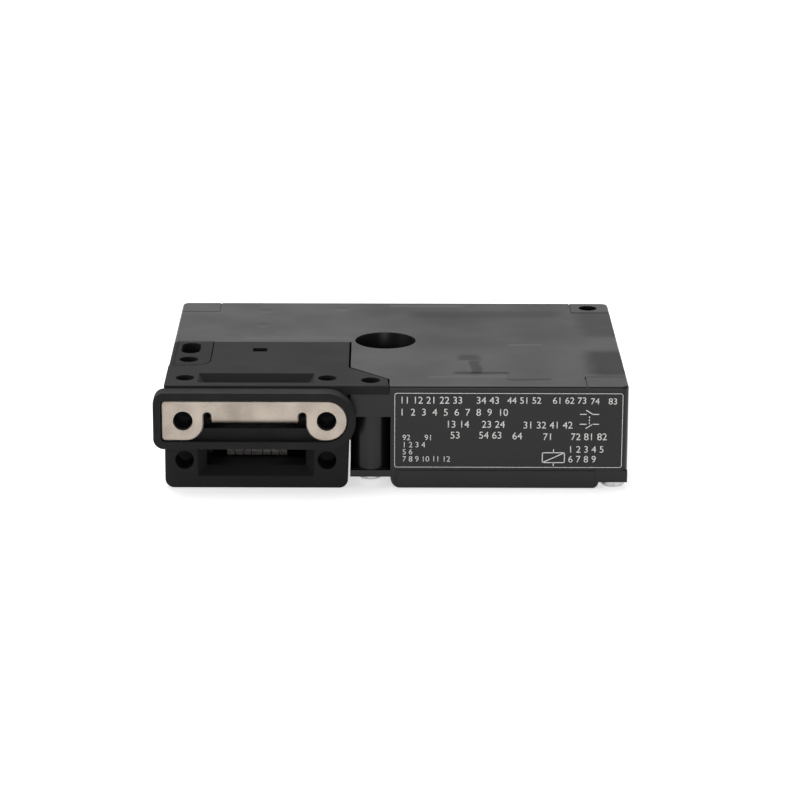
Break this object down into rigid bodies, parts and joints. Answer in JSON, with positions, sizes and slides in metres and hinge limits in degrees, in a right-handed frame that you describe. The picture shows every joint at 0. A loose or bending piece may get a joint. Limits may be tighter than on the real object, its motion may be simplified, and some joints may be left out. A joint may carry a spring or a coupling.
{
  "type": "tongue interlock switch",
  "caption": "Guard-locking tongue interlock switch: flat plastic housing with a slotted head, steel actuator pushed in, solenoid lock, manual release and contacts.",
  "frame": {"origin": "middle of the housing's plan, on the plane of the cover's outer face, which it lies on", "axes": "+X along the long side away from the head, +Y from the label side to the cable side, +Z from the cover to the mounting face"},
  "size_m": [0.1328, 0.0977, 0.03],
  "materials": {
    "actuator_plastic": "moulded thermoplastic, black",
    "actuator_steel": "stamped stainless steel, tumbled",
    "bolt_steel": "turned steel",
    "head_plastic": "moulded glass-fibre reinforced thermoplastic, black, matter",
    "housing_plastic": "moulded glass-fibre reinforced thermoplastic, black, slight sheen",
    "pale_plastic": "moulded polyamide, natural",
    "plug_plastic": "moulded polyamide, black",
    "plunger_plastic": "moulded polyacetal, red",
    "release_brass": "turned brass",
    "screw_steel": "zinc plated steel",
    "seal_rubber": "moulded nitrile rubber",
    "spring_steel": "drawn spring wire",
    "switch_plastic": "moulded thermoplastic, dark grey",
    "wheel_steel": "stamped steel, bright edges",
    "winding": "enamelled copper winding under tape",
    "zinc_plated_steel": "zinc plated sheet steel"
  },
  "bodies": {
    "base": {"cover_gasket": "seal_rubber", "cover_screw_1": "screw_steel", "cover_screw_2": "screw_steel", "cover_screw_3": "screw_steel", "cover_screw_4": "screw_steel", "entry_plug_1": "plug_plastic", "entry_plug_2": "plug_plastic", "head_guide_block": "head_plastic", "head_screw_1": "screw_steel", "head_screw_2": "screw_steel", "head_shell": "head_plastic", "housing_cover": "housing_plastic", "lock_spring": "spring_steel", "lock_switch_block": "switch_plastic", "main_housing": "housing_plastic", "monitor_switch_block": "switch_plastic", "release_seal": "seal_rubber", "solenoid_bobbin": "pale_plastic", "solenoid_coil": "winding", "solenoid_core": "bolt_steel", "solenoid_yoke": "zinc_plated_steel", "terminal_screw_1": "screw_steel", "terminal_screw_10": "screw_steel", "terminal_screw_2": "screw_steel", "terminal_screw_3": "screw_steel", "terminal_screw_4": "screw_steel", "terminal_screw_5": "screw_steel", "terminal_screw_6": "screw_steel", "terminal_screw_7": "screw_steel", "terminal_screw_8": "screw_steel", "terminal_screw_9": "screw_steel", "terminal_strip_1": "pale_plastic", "terminal_strip_2": "pale_plastic", "wheel_spring": "spring_steel"},
    "actuator": {"actuator_plate": "actuator_steel", "actuator_frame": "actuator_plastic"},
    "wheel": {"wheel_axle": "wheel_steel", "lock_disc": "wheel_steel", "monitor_cam": "wheel_steel", "wheel_disc_1": "wheel_steel", "wheel_disc_2": "wheel_steel", "wheel_disc_3": "wheel_steel", "wheel_disc_4": "wheel_steel", "wheel_disc_5": "wheel_steel", "wheel_disc_6": "wheel_steel"},
    "monitor": {"monitor_plunger": "plunger_plastic"},
    "release": {"release_spindle": "release_brass", "release_crank_pin": "bolt_steel"},
    "lock": {"lock_bolt": "bolt_steel", "lock_armature": "bolt_steel", "release_link": "zinc_plated_steel", "lock_plunger": "plunger_plastic"}
  },
  "joints": [
    {"name": "actuator_slide", "type": "slide", "parent": "base", "child": "actuator", "axis": [0, -1, 0], "range_m": [0, 0.025]},
    {"name": "wheel_turn", "type": "hinge", "parent": "base", "child": "wheel", "pos_m": [-0.0395, -0.0307, 0.0147], "axis": [1, 0, 0], "range_deg": [0, 180]},
    {"name": "monitor_slide", "type": "slide", "parent": "base", "child": "monitor", "axis": [0, 1, 0], "range_m": [0, 0.0025]},
    {"name": "release_turn", "type": "hinge", "parent": "base", "child": "release", "pos_m": [-0.0031, 0.0022, 0.02], "axis": [0, 0, 1], "range_deg": [0, 90]},
    {"name": "lock_slide", "type": "slide", "parent": "base", "child": "lock", "axis": [0, -1, 0], "range_m": [0, 0.004], "deforming": ["lock_spring"]}
  ],
  "couplings": [
    {"joint": "wheel_turn", "follows": "actuator_slide", "rad_per_m": 125.66},
    {"joint": "monitor_slide", "follows": "actuator_slide", "ratio": 0.1},
    {"joint": "release_turn", "follows": "lock_slide", "rad_per_m": 392.7}
  ]
}
